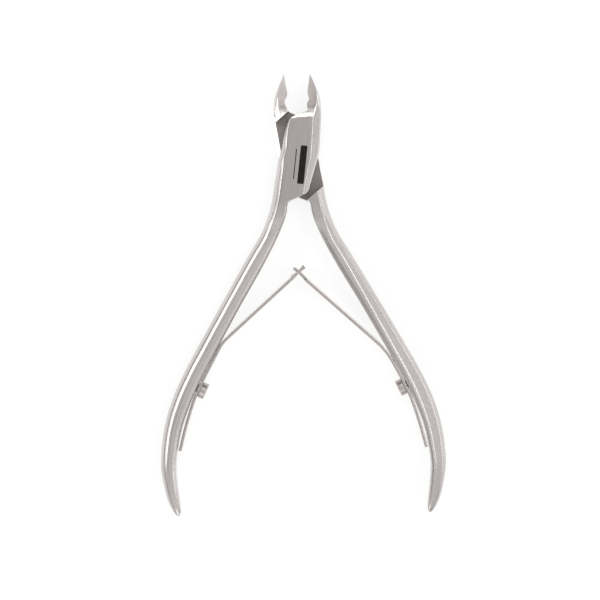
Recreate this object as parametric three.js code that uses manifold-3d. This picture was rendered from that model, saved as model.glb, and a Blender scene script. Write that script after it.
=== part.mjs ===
// Cuticle nipper with a lap joint and two interlocking leaf springs.
//
// Millimetres. The tool lies flat and half open: +X to the right, +Y towards the jaws, +Z up.
// The origin is on the pivot axis, on the back face of the joint, which is what it rests on.
//
// Seven physical pieces: two forged halves, a pivot rivet, two leaf springs and two spring screws.
// Each leaf spring is two meshes that meet at its bend: a clamped base and the arm that flexes.
// The back half is the front half turned by half a turn about the Y axis.

import * as THREE from 'three';
import { mergeVertices } from 'three/addons/utils/BufferGeometryUtils.js';
import Module from 'manifold-3d';

const wasm = await Module();
wasm.setup();

const DEGREE = Math.PI / 180;

// ---- Driving dimensions -------------------------------------------------------------------

// Joint
const JOINT_THICKNESS = 6.4;
const MID = JOINT_THICKNESS / 2;
const LAP_GAP = 0.05; // between the two sliding lap faces
const HALF_OPENING = 8.5 * DEGREE; // each half stands this far from the closed position
const SHOULDER_TILT = 40 * DEGREE; // the recess shoulders, measured from the X axis
const UPPER_SHOULDER = 10.15; // distance of the jaw-side shoulder from the pivot
const LOWER_SHOULDER = 8.75; // distance of the handle-side shoulder from the pivot

// Jaws, in the closed position, where the cutting edges lie on the plane x = 0
const JAW_TOP = 20.8;
const EDGE_CLEARANCE = 0.015; // each edge stops this far short of that plane
const EDGE_HEIGHT = 0.06; // half the thickness left at the cutting edge
const LEAF_SLOPE = 1.05; // rise of the ground facet for each millimetre away from the edge
const WHEEL_RADIUS = 2.55; // corner radius of the grinding wheel that ends the facet
const WHEEL_START = 13.9; // height at which that corner begins
const DOME_POWER = 4; // squareness of the rounded outer side
const DOME_LEAN = 0.25; // how much later the crest falls for each millimetre outwards
const JAW_RIB_LEAN = 1.6; // how far the outer end of the lowest jaw rib lies above its inner end
const JAW_STOCK = 0.2; // the jaw is lofted this much too wide, and the dome trims it
const BLUNT_EDGE = 0.02; // width and fall of the bevels on that stock
const JAW_RISE = 0.03; // from the lap's last rib to the jaw's first, along their outer edge

// Pivot rivet
const RIVET_RADIUS = 1.5;
const RIVET_HEAD_RADIUS = 2.5;
const RIVET_HEAD_HEIGHT = 1.0;
const RIVET_END = 5.4; // height of the blind end, inside the front lap
const RUNNING_CLEARANCE = 0.04;

// Leaf springs
const LEAF_THICKNESS = 0.7;
const LEAF_WIDTH = 4.0;
const HINGE_GAP = 0.12; // from the bend to each of the two meshes that meet there
const FORK_GAP = 2.1;
const TONGUE_WIDTH = 1.5;

// Spring screws
const SCREW_HEAD_RADIUS = 1.95;
const SCREW_HEAD_HEIGHT = 1.45;
const SCREW_EDGE = 0.18;
const SCREW_RADIUS = 1.0;
const SCREW_DEPTH = 3.3; // from the head down to the end of the shank
const SCREW_SLOT_WIDTH = 0.7;
const SCREW_SLOT_DEPTH = 0.55;
const SCREW_SEAT_GAP = 0.02; // between the head and the leaf that it clamps
const HOLE_CLEARANCE = 0.04;

// Fineness of the surfaces
const HANDLE_STEP = 3.2; // longest distance between ribs
const LAP_STEP = 2.5;
const JAW_STEP = 0.9;
const STRIP_ANGLES = [15, 30, 45]; // degrees round the section's outer strip, the last at its ridge
const STRIP_SLOPE = 0.55; // fall of the slope beside the flat, for each millimetre of its width
const ROUND_STEPS = 32;
const MERGING_DISTANCE = 1e-5;
const JOINING_DISTANCE = 0.003; // cuts can leave points closer than this, which are joined

// Cutting tools run on past what they cut
const OVERRUN = 3;
const SHAFT_OVERRUN = 0.5;
const RECESS_LENGTH = 40;

// ---- The front half's outline, at rest ----------------------------------------------------

// Ribs run across the half from its left edge to its right edge:
// [left x, left y, right x, right y, flat, strip, bevel, edge, drop]
// flat is the height of the flat face above the middle plane. Going in from the left edge,
// strip is the width of the rounded outer strip and bevel that of the slope up to the flat.
// edge and drop are the width and the fall of the bevel along the right edge.

const HANDLE_RIBS = [
  [-30.5, -84.9, -29.9, -84.85, 0.7, 0.2, 0.1, 0.1, 0.3],
  [-31.0, -84.5, -29.65, -84.35, 1.0, 0.4, 0.3, 0.15, 0.3],
  [-31.7, -83.4, -29.65, -83.1, 1.4, 0.6, 0.5, 0.2, 0.2],
  [-32.5, -81.7, -29.9, -81.1, 1.7, 0.75, 0.65, 0.2, 0.2],
  [-33.55, -77.7, -30.35, -77.3, 2.05, 0.95, 0.85, 0.2, 0.2],
  [-34.2, -73.4, -30.6, -73.4, 2.25, 1.0, 0.95, 0.2, 0.2],
  [-34.03, -69.2, -30.2, -69.6, 2.35, 1.05, 1.0, 0.2, 0.2],
  [-33.0, -62.7, -29.0, -63.8, 2.45, 1.1, 1.05, 0.2, 0.2],
  [-31.0, -56.5, -26.9, -58.1, 2.5, 1.15, 1.1, 0.2, 0.2],
  [-28.15, -50.4, -24.2, -52.3, 2.5, 1.15, 1.1, 0.2, 0.2],
  [-24.9, -44.55, -21.1, -46.6, 2.5, 1.15, 1.1, 0.2, 0.2],
  [-18.3, -33.0, -14.6, -35.0, 2.5, 1.1, 1.05, 0.2, 0.2],
  [-11.6, -21.5, -7.9, -23.5, 2.5, 1.1, 1.05, 0.2, 0.2],
  [-9.75, -18.5, -6.1, -20.1, 2.55, 1.1, 1.05, 0.2, 0.2],
  [-8.75, -16.6, -4.5, -16.7, 2.75, 1.1, 1.0, 0.2, 0.2],
  [-8.05, -14.9, -3.4, -13.9, 3.15, 1.15, 0.9, 0.2, 0.2],
  [-7.5, -13.4, -2.95, -12.1, 3.2, 1.15, 0.85, 0.2, 0.2],
  [-7.15, -12.2, -2.8, -10.8, 3.2, 1.2, 0.82, 0.2, 0.2],
  [-7.05, -11.9, -2.62, -10.25, 3.2, 1.2, 0.82, 0.2, 0.2],
  [-7.0, -11.75, -2.25, -9.9, 3.2, 1.2, 0.82, 0.2, 0.2],
];

const LAP_RIBS = [
  [-6.99, -11.72, 2.15, -8.14, 3.2, 1.2, 0.82, 1.3, 0.7],
  [-6.93, -11.45, 2.38, -7.8, 3.2, 1.2, 0.82, 1.4, 0.75],
  [-6.6, -10.1, 2.72, -6.4, 3.2, 1.2, 0.8, 1.5, 0.8],
  [-5.75, -5.3, 4.2, -1.35, 3.2, 1.1, 0.8, 1.95, 1.0],
  [-5.2, -2.4, 4.95, 1.4, 3.2, 1.0, 0.75, 2.1, 1.05],
  [-4.85, 0.0, 5.2, 3.75, 3.2, 0.9, 0.7, 2.15, 1.05],
  [-4.15, 2.2, 5.35, 5.85, 3.2, 0.8, 0.7, 2.12, 1.05],
  [-3.7, 5.0, 5.5, 8.65, 3.2, 0.6, 0.68, 2.07, 1.05],
  [-3.24, 7.1, 5.64, 10.65, 3.2, 0.45, 0.65, 2.07, 1.05],
  [-2.65, 8.9, 5.72, 12.2, 3.2, 0.35, 0.6, 2.07, 1.05],
  [-2.35, 9.45, 5.73, 12.75, 3.2, 0.3, 0.5, 2.07, 1.05],
  [-1.95, 9.78, 5.73, 13.05, 3.2, 0.3, 0.4, 2.07, 1.05],
  [-1.4, 10.0, 5.73, 13.22, 3.2, 0.3, 0.3, 2.07, 1.05],
];

// The jaws, in the closed position.
const JAW_FOOT = 11.92;
const OUTER_SIDE = [[9, 5.4], [10, 4.9], [11, 4.45], [12, 4.1], [13, 3.86], [14, 3.63], [15, 3.36],
  [16.5, 2.77], [18, 1.9], [19, 1.27], [20, 0.62], [JAW_TOP, 0.12], [21.6, 0.05]];
const CREST = [[8, 3.65], [9, 3.43], [10.1, 3.2], [11, 3.08], [12, 3.0], [13, 2.96], [14.6, 2.88],
  [16.5, 2.45], [17.6, 1.98], [18.7, 1.37], [19.7, 0.75], [20.7, 0.15], [21.6, -0.3]];
const FRONT_INNER_SIDE = [[JAW_FOOT, 0.6], [12.65, 0.5], [13.7, 0.3], [14.1, 0.4], [14.6, 0.63],
  [15.2, 0.5], [15.9, 0.19], [16.35, 0.035], [16.6, EDGE_CLEARANCE], [17.2, EDGE_CLEARANCE],
  [JAW_TOP, EDGE_CLEARANCE]];
const BACK_INNER_SIDE = [[JAW_FOOT, 0.6], [12.6, 0.7], [13.2, 0.85], [14.0, 0.98], [14.6, 0.9],
  [15.2, 0.5], [15.7, 0.14], [16.1, 0.035], [16.35, EDGE_CLEARANCE], [17, EDGE_CLEARANCE],
  [JAW_TOP, EDGE_CLEARANCE]];

// Centrelines of the leaf springs, at rest. Both are drawn on the left-hand side.
const LEAF_TAIL = [[-29.45, -69.2], [-28.12, -64.0], [-26.93, -60.0], [-25.7, -56.58]];
const LEAF_SEAT = [-24.71, -54.5]; // under the screw
const LEAF_SHOULDER = [-23.72, -52.42]; // where the leaf turns to lie along the handle
const LEFT_LEAF = { bend: [-18.98, -43.6], free: [[-0.6, -27.25], [0.85, -25.97]] };
const RIGHT_LEAF = { bend: [-20.36, -46.14], free: [[-0.9, -28.45], [0.3, -27.1], [1.65, -26.05]] };
const FORK_START = [-2.0, -28.5]; // where the left leaf's free end divides
const TONGUE_START = [-1.3, -28.8]; // where the right leaf's free end narrows

// ---- Solids -------------------------------------------------------------------------------

function solidOf(geometry) {
  const bare = geometry.clone();
  bare.deleteAttribute('normal');
  bare.deleteAttribute('uv');
  const merged = mergeVertices(bare, MERGING_DISTANCE);
  return new wasm.Manifold(new wasm.Mesh({
    numProp: 3,
    vertProperties: new Float32Array(merged.attributes.position.array),
    triVerts: new Uint32Array(merged.index.array),
  }));
}

// The surface of a solid, with points closer than a few micrometres joined.
function geometryOf(solid) {
  const mesh = solid.getMesh();
  const geometry = new THREE.BufferGeometry();
  geometry.setAttribute('position', new THREE.BufferAttribute(mesh.vertProperties, 3));
  geometry.setIndex(new THREE.BufferAttribute(mesh.triVerts, 1));
  const joined = mergeVertices(geometry, JOINING_DISTANCE);
  const corners = joined.index.array;
  const kept = [];
  for (let k = 0; k < corners.length; k += 3) {
    const [a, b, c] = corners.slice(k, k + 3);
    if (a !== b && b !== c && c !== a) kept.push(a, b, c);
  }
  joined.setIndex(kept);
  const split = joined.toNonIndexed();
  split.computeVertexNormals();
  return split;
}

// A closed solid from rings with the same even number of points each. The two ends are closed
// by strips between the first half of the ring's points and the second.
function loft(rings) {
  const count = rings[0].length;
  const last = (rings.length - 1) * count;
  const triangles = [];
  for (let start = 0; start < last; start += count) {
    for (let k = 0; k < count; k += 1) {
      const a = start + k;
      const b = start + ((k + 1) % count);
      triangles.push(a, b, b + count, a, b + count, a + count);
    }
  }
  for (let k = 0; k < count / 2 - 1; k += 1) {
    const [a, b, c, d] = [k, k + 1, count - 2 - k, count - 1 - k];
    triangles.push(a, c, b, a, d, c);
    triangles.push(last + a, last + b, last + c, last + a, last + c, last + d);
  }
  const geometry = new THREE.BufferGeometry();
  const positions = rings.flat().flatMap((p) => [p.x, p.y, p.z]);
  geometry.setAttribute('position', new THREE.Float32BufferAttribute(positions, 3));
  geometry.setIndex(triangles);
  const solid = solidOf(geometry);
  return solid.volume() < 0 ? loft([...rings].reverse()) : solid;
}

// A solid moved by a matrix.
function placed(geometry, { at = [0, 0, 0], turn = [0, 0, 0] }) {
  const matrix = new THREE.Matrix4().makeRotationFromEuler(new THREE.Euler(...turn));
  matrix.setPosition(...at);
  return solidOf(geometry.clone().applyMatrix4(matrix));
}

// ---- Curves -------------------------------------------------------------------------------

// Slopes of a smooth curve through rows of numbers, whose spacing along the curve is knots.
function slopesOf(rows, knots) {
  return rows.map((row, i) => row.map((value, k) => {
    if (i === 0 || i === rows.length - 1) {
      const j = i === 0 ? 1 : i - 1;
      return (rows[j][k] - value) / (knots[j] - knots[i]);
    }
    const before = knots[i] - knots[i - 1];
    const after = knots[i + 1] - knots[i];
    const slopeBefore = (value - rows[i - 1][k]) / before;
    const slopeAfter = (rows[i + 1][k] - value) / after;
    return (slopeBefore * after + slopeAfter * before) / (before + after);
  }));
}

function hermite(from, to, slopeFrom, slopeTo, length, t) {
  const s = 1 - t;
  return from * s * s * (1 + 2 * t) + to * t * t * (3 - 2 * t)
    + length * t * s * (slopeFrom * s - slopeTo * t);
}

// The value at x of a smooth curve through [x, value] pairs.
function along(pairs, x) {
  const knots = pairs.map((pair) => pair[0]);
  const slopes = slopesOf(pairs, knots);
  let i = 0;
  while (i < pairs.length - 2 && x > knots[i + 1]) i += 1;
  const length = knots[i + 1] - knots[i];
  const t = THREE.MathUtils.clamp((x - knots[i]) / length, 0, 1);
  return hermite(pairs[i][1], pairs[i + 1][1], slopes[i][1], slopes[i + 1][1], length, t);
}

// More ribs between the given ones, so that no step is longer than the one stated.
function smoothRibs(ribs, step) {
  const knots = [0];
  for (let i = 1; i < ribs.length; i += 1) {
    const [a, b, c, d] = ribs[i].map((value, k) => value - ribs[i - 1][k]);
    knots.push(knots[i - 1] + (Math.hypot(a, b) + Math.hypot(c, d)) / 2);
  }
  const slopes = slopesOf(ribs, knots);
  const result = [ribs[0]];
  for (let i = 1; i < ribs.length; i += 1) {
    const length = knots[i] - knots[i - 1];
    const parts = Math.ceil(length / step);
    for (let n = 1; n <= parts; n += 1) {
      result.push(ribs[i].map((value, k) => hermite(
        ribs[i - 1][k], value, slopes[i - 1][k], slopes[i][k], length, n / parts)));
    }
  }
  return result;
}

// ---- One forged half, with its middle plane at z = 0 ---------------------------------------

// The section over a rib: a rounded strip, a slope, the flat face and the right-hand bevel,
// then the same below.
function ringOver([leftX, leftY, rightX, rightY, flat, strip, bevel, edge, drop]) {
  const width = Math.hypot(rightX - leftX, rightY - leftY);
  const slopeFoot = flat - bevel * STRIP_SLOPE;
  const upper = [[0, 0]];
  const ridge = STRIP_ANGLES[STRIP_ANGLES.length - 1] * DEGREE;
  for (const degrees of STRIP_ANGLES) {
    const angle = degrees * DEGREE;
    const across = strip * (1 - Math.cos(angle)) / (1 - Math.cos(ridge));
    upper.push([across, slopeFoot * Math.sin(angle) / Math.sin(ridge)]);
  }
  upper.push([strip + bevel, flat], [width - edge, flat], [width, flat - drop], [width, 0]);
  const lower = upper.slice(1, -1).reverse().map(([across, up]) => [across, -up]);
  return [...upper, ...lower].map(([across, up]) => new THREE.Vector3(
    THREE.MathUtils.lerp(leftX, rightX, across / width),
    THREE.MathUtils.lerp(leftY, rightY, across / width),
    up,
  ));
}

// A point of the jaw, from the closed position to the open one.
function opened(x, y, z = 0) {
  return new THREE.Vector3(x, y, z).applyAxisAngle(new THREE.Vector3(0, 0, 1), -HALF_OPENING);
}

function jawRibs(innerSide) {
  const lapHead = LAP_RIBS[LAP_RIBS.length - 1];
  const section = lapHead.slice(4);
  const foot = opened(innerSide[0][1], innerSide[0][0]);
  const ribs = [[foot.x, foot.y, lapHead[2], lapHead[3] + JAW_RISE, ...section]];
  const stockSection = [MID, BLUNT_EDGE, BLUNT_EDGE, BLUNT_EDGE, BLUNT_EDGE];
  for (const [y, inner] of innerSide.slice(1)) {
    const left = opened(inner, y);
    const lean = JAW_RIB_LEAN * (1 - (y - JAW_FOOT) / (JAW_TOP - JAW_FOOT));
    const right = opened(along(OUTER_SIDE, y + lean) + JAW_STOCK, y + lean);
    ribs.push([left.x, left.y, right.x, right.y, ...stockSection]);
  }
  return ribs;
}

// The height of the jaw's rounded outside, in the closed position.
function domeHeight(x, y) {
  const share = Math.min(Math.max(x, 0) / along(OUTER_SIDE, y), 1);
  return along(CREST, y - DOME_LEAN * x) * (1 - share ** DOME_POWER) ** (1 / DOME_POWER);
}

// The height of the ground facet that makes the cutting edge, in the closed position.
function leafHeight(x, y) {
  const intoCorner = Math.min(Math.max(WHEEL_START - y, 0), WHEEL_RADIUS);
  const rise = WHEEL_RADIUS - Math.sqrt(WHEEL_RADIUS ** 2 - intoCorner ** 2);
  return EDGE_HEIGHT + LEAF_SLOPE * x + rise;
}

// Everything above the dome, between it and a lid over the jaw. Beyond the jaw's outer side the
// tool drops just past the middle plane, so that it and its mirror image leave nothing there.
function aboveDome() {
  const lid = 2 * MID;
  const inside = 5;
  const past = 0.05;
  const rows = [8.8, 9.4, 10, 10.6, 11.2, 11.8, 12.5, 13.2, 14, 14.8, 15.6, 16.4, 17.2, 18, 18.7,
    19.4, 20, 20.45, 20.9, 21.6];
  return loft(rows.map((y) => {
    const outer = along(OUTER_SIDE, y);
    const points = [-inside, -inside / 2, 0].map((x) => [x, domeHeight(x, y)]);
    for (const share of [0.3, 0.5, 0.65, 0.77, 0.86, 0.93, 0.975, 1]) {
      points.push([share * outer, domeHeight(share * outer, y)]);
    }
    points.push([outer + BLUNT_EDGE, -past], [outer + OVERRUN, -past]);
    const roof = points.map(([x]) => [x, lid]).reverse();
    return [...points, ...roof].map(([x, z]) => opened(x, y, z));
  }));
}

// Everything above the ground facet, which narrows into the grinding wheel's corner at its foot.
function aboveLeaf() {
  const lid = 2 * MID + OVERRUN;
  const [inside, outside] = [-1, 4.5];
  const rows = [11.36, 11.45, 11.6, 11.8, 12.05, 12.35, 12.7, 13.1, WHEEL_START, 21.6];
  return loft(rows.map((y) => [
    [inside, leafHeight(inside, y)], [outside, leafHeight(outside, y)], [outside, lid], [inside, lid],
  ].map(([x, z]) => opened(x, y, z))));
}

// The same cut made from below.
function mirroredBelow(solid) {
  return solid.mirror([0, 0, 1]);
}

// The step in the back layer that the other half's lap turns in.
function recess() {
  const depth = JOINT_THICKNESS;
  const middle = (UPPER_SHOULDER - LOWER_SHOULDER) / 2;
  const top = LAP_GAP / 2;
  return placed(new THREE.BoxGeometry(RECESS_LENGTH, UPPER_SHOULDER + LOWER_SHOULDER, depth), {
    at: [middle * Math.sin(SHOULDER_TILT), middle * Math.cos(SHOULDER_TILT), top - depth / 2],
    turn: [0, 0, -SHOULDER_TILT],
  });
}

function forgedHalf(innerSide, rivetHole) {
  const handle = smoothRibs(HANDLE_RIBS, HANDLE_STEP);
  const lap = smoothRibs(LAP_RIBS, LAP_STEP);
  const jaw = smoothRibs(jawRibs(innerSide), JAW_STEP);
  let half = loft([...handle, ...lap, ...jaw].map(ringOver));
  for (const cut of [aboveDome(), aboveLeaf()]) {
    half = half.subtract(cut).subtract(mirroredBelow(cut));
  }
  const screwHole = onSeat(screwShaft(SCREW_RADIUS + HOLE_CLEARANCE, SCREW_DEPTH));
  return half.subtract(recess()).subtract(rivetHole).subtract(screwHole);
}

// ---- Springs, screws and rivet --------------------------------------------------------------

const SEAT_TURN = Math.atan2(
  LEAF_SHOULDER[1] - LEAF_SEAT[1],
  LEAF_SHOULDER[0] - LEAF_SEAT[0],
) + Math.PI;

// Moves a body from the seat's own axes, where +Y points out of the handle, to the half's axes.
function onSeat(solid) {
  const degrees = SEAT_TURN / DEGREE;
  return solid.rotate([0, 0, degrees]).translate([LEAF_SEAT[0], LEAF_SEAT[1], 0]);
}

function turned(profile) {
  const points = profile.map(([radius, height]) => new THREE.Vector2(radius, height));
  return new THREE.LatheGeometry(points, ROUND_STEPS);
}

// The space for a screw's shank, to a depth measured from the leaf's outer face.
function screwShaft(radius, depth) {
  const start = LEAF_THICKNESS / 2 + SHAFT_OVERRUN;
  const end = LEAF_THICKNESS / 2 - depth;
  return placed(new THREE.CylinderGeometry(radius, radius, start - end, ROUND_STEPS), {
    at: [0, (start + end) / 2, 0],
  });
}

function springScrew() {
  const base = LEAF_THICKNESS / 2 + SCREW_SEAT_GAP;
  const top = base + SCREW_HEAD_HEIGHT;
  const body = solidOf(turned([
    [0, base - SCREW_DEPTH],
    [SCREW_RADIUS - SCREW_EDGE, base - SCREW_DEPTH],
    [SCREW_RADIUS, base - SCREW_DEPTH + SCREW_EDGE],
    [SCREW_RADIUS, base],
    [SCREW_HEAD_RADIUS, base],
    [SCREW_HEAD_RADIUS, top - SCREW_EDGE],
    [SCREW_HEAD_RADIUS - SCREW_EDGE, top],
    [0, top],
  ]));
  const slotLength = 3 * SCREW_HEAD_RADIUS;
  const slot = placed(new THREE.BoxGeometry(slotLength, 2 * SCREW_SLOT_DEPTH, SCREW_SLOT_WIDTH), {
    at: [0, top, 0],
  });
  return onSeat(body.subtract(slot));
}

// A strip of leaf along a line of points, standing on its edge.
function leafAlong(points, width) {
  const half = LEAF_THICKNESS / 2;
  const line = points.map(([x, y]) => new THREE.Vector2(x, y));
  const offsets = line.map((point, i) => {
    const before = line[i].clone().sub(line[Math.max(i - 1, 0)]).normalize();
    const after = line[Math.min(i + 1, line.length - 1)].clone().sub(point).normalize();
    const across = before.add(after).normalize();
    return new THREE.Vector2(-across.y, across.x).multiplyScalar(half);
  });
  const outline = [
    ...line.map((point, i) => point.clone().add(offsets[i])),
    ...line.map((point, i) => point.clone().sub(offsets[i])).reverse(),
  ];
  const strip = new THREE.ExtrudeGeometry(new THREE.Shape(outline), { depth: width, bevelEnabled: false });
  return placed(strip, { at: [0, 0, -width / 2] });
}

// The point at a distance from one point towards another.
function towards(from, to, distance) {
  const length = Math.hypot(to[0] - from[0], to[1] - from[1]);
  return from.map((value, k) => value + (to[k] - value) * distance / length);
}

function springBase({ bend }) {
  const end = towards(bend, LEAF_SHOULDER, HINGE_GAP);
  const strip = leafAlong([...LEAF_TAIL, LEAF_SEAT, LEAF_SHOULDER, end], LEAF_WIDTH);
  return strip.subtract(onSeat(screwShaft(SCREW_RADIUS + HOLE_CLEARANCE, 2 * LEAF_THICKNESS)));
}

function springArm({ bend, free }) {
  return leafAlong([towards(bend, free[0], HINGE_GAP), ...free], LEAF_WIDTH);
}

// A block of the given height that covers a leaf's free end from a starting point outwards.
function blockOver(start, end, height, middle) {
  const angle = Math.atan2(end[1] - start[1], end[0] - start[0]);
  const reach = 2 * LEAF_WIDTH;
  return placed(new THREE.BoxGeometry(reach, reach, height), {
    at: [start[0] + Math.cos(angle) * reach / 2, start[1] + Math.sin(angle) * reach / 2, middle],
    turn: [0, 0, angle],
  });
}

function forkedArm() {
  const [crossing] = LEFT_LEAF.free;
  return springArm(LEFT_LEAF).subtract(blockOver(FORK_START, crossing, FORK_GAP, 0));
}

function tonguedArm() {
  const [, , tip] = RIGHT_LEAF.free;
  const side = LEAF_WIDTH;
  const middle = (TONGUE_WIDTH + side) / 2;
  return springArm(RIGHT_LEAF)
    .subtract(blockOver(TONGUE_START, tip, side, middle))
    .subtract(blockOver(TONGUE_START, tip, side, -middle));
}

// The rivet, or the space round it when grown by a clearance, with its flat head at height 0.
// The space starts in front of the head, so that the cut leaves the hole open.
function rivetSolid(clearance, end) {
  const shank = RIVET_RADIUS + clearance;
  const head = RIVET_HEAD_RADIUS + clearance;
  const start = clearance > 0 ? -RIVET_HEAD_HEIGHT : 0;
  const profile = [[0, start], [head, start], [shank, RIVET_HEAD_HEIGHT], [shank, end], [0, end]];
  if (clearance > 0) profile.splice(2, 0, [head, 0]);
  return solidOf(turned(profile)).rotate([90, 0, 0]);
}

// The hole in the front half ends blind. The one in the back half has the countersink.
function frontRivetHole() {
  return rivetSolid(HOLE_CLEARANCE, RIVET_END + HOLE_CLEARANCE).translate([0, 0, -MID]);
}

function backRivetHole() {
  const space = rivetSolid(RUNNING_CLEARANCE, JOINT_THICKNESS);
  return space.rotate([0, 180, 0]).translate([0, 0, MID]);
}

// ---- Assembly -------------------------------------------------------------------------------

const brushedSteel = { color: 0xb9b3ac, roughness: 0.38, metalness: 1 };
const springSteel = { color: 0xb3aba1, roughness: 0.3, metalness: 1 };
const screwSteel = { color: 0xa9a298, roughness: 0.35, metalness: 1 };
const rivetSteel = { color: 0xb9b3ac, roughness: 0.42, metalness: 1 };

function part(name, solid, look) {
  const mesh = new THREE.Mesh(geometryOf(solid), new THREE.MeshStandardMaterial(look));
  mesh.name = name;
  return mesh;
}

const frontSide = new THREE.Group();
frontSide.position.z = MID;
frontSide.add(
  part('front_half', forgedHalf(FRONT_INNER_SIDE, frontRivetHole()), brushedSteel),
  part('left_spring', springBase(LEFT_LEAF), springSteel),
  part('left_spring_arm', forkedArm(), springSteel),
  part('left_spring_screw', springScrew(), screwSteel),
);

const backSide = new THREE.Group();
backSide.position.z = MID;
backSide.rotation.y = Math.PI;
backSide.add(
  part('back_half', forgedHalf(BACK_INNER_SIDE, backRivetHole()), brushedSteel),
  part('right_spring', springBase(RIGHT_LEAF), springSteel),
  part('right_spring_arm', tonguedArm(), springSteel),
  part('right_spring_screw', springScrew(), screwSteel),
);

const nipper = new THREE.Group();
nipper.add(frontSide, backSide, part('pivot_rivet', rivetSolid(0, RIVET_END), rivetSteel));

export default nipper;
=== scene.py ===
import math
import bpy
import numpy as np
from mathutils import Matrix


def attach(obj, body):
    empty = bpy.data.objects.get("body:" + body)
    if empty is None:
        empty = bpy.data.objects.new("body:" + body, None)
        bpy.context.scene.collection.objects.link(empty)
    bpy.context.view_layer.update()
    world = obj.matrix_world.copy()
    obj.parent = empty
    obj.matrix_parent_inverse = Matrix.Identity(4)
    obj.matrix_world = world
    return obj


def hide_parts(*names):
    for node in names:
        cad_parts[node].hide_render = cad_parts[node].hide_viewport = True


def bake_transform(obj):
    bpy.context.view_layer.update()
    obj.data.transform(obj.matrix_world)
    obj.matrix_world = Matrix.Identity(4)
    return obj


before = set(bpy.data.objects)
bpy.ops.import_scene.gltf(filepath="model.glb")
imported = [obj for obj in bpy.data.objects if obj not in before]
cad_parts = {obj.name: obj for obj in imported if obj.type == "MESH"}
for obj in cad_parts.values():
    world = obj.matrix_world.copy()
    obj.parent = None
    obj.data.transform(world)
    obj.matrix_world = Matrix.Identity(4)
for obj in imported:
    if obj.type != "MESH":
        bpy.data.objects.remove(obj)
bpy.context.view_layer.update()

# Cuticle nipper. Lengths are in millimetres until a mesh is made, which is in metres.
MM = 0.001
MID = 3.2                      # height of the tool's middle plane
LAP_GAP = 0.05                 # between the two laps
HALF_OPENING = math.radians(8.5)
SHOULDER_TILT = math.radians(40)
UPPER_SHOULDER = 10.15
LOWER_SHOULDER = 8.75
JAW_TOP = 20.8
JAW_FOOT = 11.92
EDGE_CLEARANCE = 0.015
EDGE_HEIGHT = 0.06
FACET_SLOPE = 1.05
WHEEL_RADIUS = 2.55
WHEEL_START = 13.9
DOME_POWER = 4
DOME_LEAN = 0.25
LEAF_THICKNESS = 0.7
LEAF_WIDTH = 4.0
STRIP_SLOPE = 0.55
RIDGE_ANGLE = math.radians(45)
RIVET_SHANK = 1.5
RIVET_HEAD = 2.5
RIVET_HEAD_DEPTH = 1.0
RIVET_LENGTH = 5.4
SCREW_SHANK = 1.0
SCREW_REACH = 3.3              # from under the head to the shank's end
SCREW_HEAD = 1.95
SCREW_HEAD_HEIGHT = 1.45
SLOT_WIDTH = 0.7
SLOT_DEPTH = 0.55
SLOT_CUTTER_LENGTH = 12.0      # runs past both sides of the head
PIN_CLEARANCE = 0.04           # radial, round the rivet and the screws

# Ribs across the front half: [left x, left y, right x, right y, flat, strip, bevel, edge, drop]
HANDLE_RIBS = [
    [-30.5, -84.9, -29.9, -84.85, 0.7, 0.2, 0.1, 0.1, 0.3],
    [-31.0, -84.5, -29.65, -84.35, 1.0, 0.4, 0.3, 0.15, 0.3],
    [-31.7, -83.4, -29.65, -83.1, 1.4, 0.6, 0.5, 0.2, 0.2],
    [-32.5, -81.7, -29.9, -81.1, 1.7, 0.75, 0.65, 0.2, 0.2],
    [-33.55, -77.7, -30.35, -77.3, 2.05, 0.95, 0.85, 0.2, 0.2],
    [-34.2, -73.4, -30.6, -73.4, 2.25, 1.0, 0.95, 0.2, 0.2],
    [-34.03, -69.2, -30.2, -69.6, 2.35, 1.05, 1.0, 0.2, 0.2],
    [-33.0, -62.7, -29.0, -63.8, 2.45, 1.1, 1.05, 0.2, 0.2],
    [-31.0, -56.5, -26.9, -58.1, 2.5, 1.15, 1.1, 0.2, 0.2],
    [-28.15, -50.4, -24.2, -52.3, 2.5, 1.15, 1.1, 0.2, 0.2],
    [-24.9, -44.55, -21.1, -46.6, 2.5, 1.15, 1.1, 0.2, 0.2],
    [-18.3, -33.0, -14.6, -35.0, 2.5, 1.1, 1.05, 0.2, 0.2],
    [-11.6, -21.5, -7.9, -23.5, 2.5, 1.1, 1.05, 0.2, 0.2],
    [-9.75, -18.5, -6.1, -20.1, 2.55, 1.1, 1.05, 0.2, 0.2],
    [-8.75, -16.6, -4.5, -16.7, 2.75, 1.1, 1.0, 0.2, 0.2],
    [-8.05, -14.9, -3.4, -13.9, 3.15, 1.15, 0.9, 0.2, 0.2],
    [-7.5, -13.4, -2.95, -12.1, 3.2, 1.15, 0.85, 0.2, 0.2],
    [-7.15, -12.2, -2.8, -10.8, 3.2, 1.2, 0.82, 0.2, 0.2],
    [-7.05, -11.9, -2.62, -10.25, 3.2, 1.2, 0.82, 0.2, 0.2],
    [-7.0, -11.75, -2.25, -9.9, 3.2, 1.2, 0.82, 0.2, 0.2],
]
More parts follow.
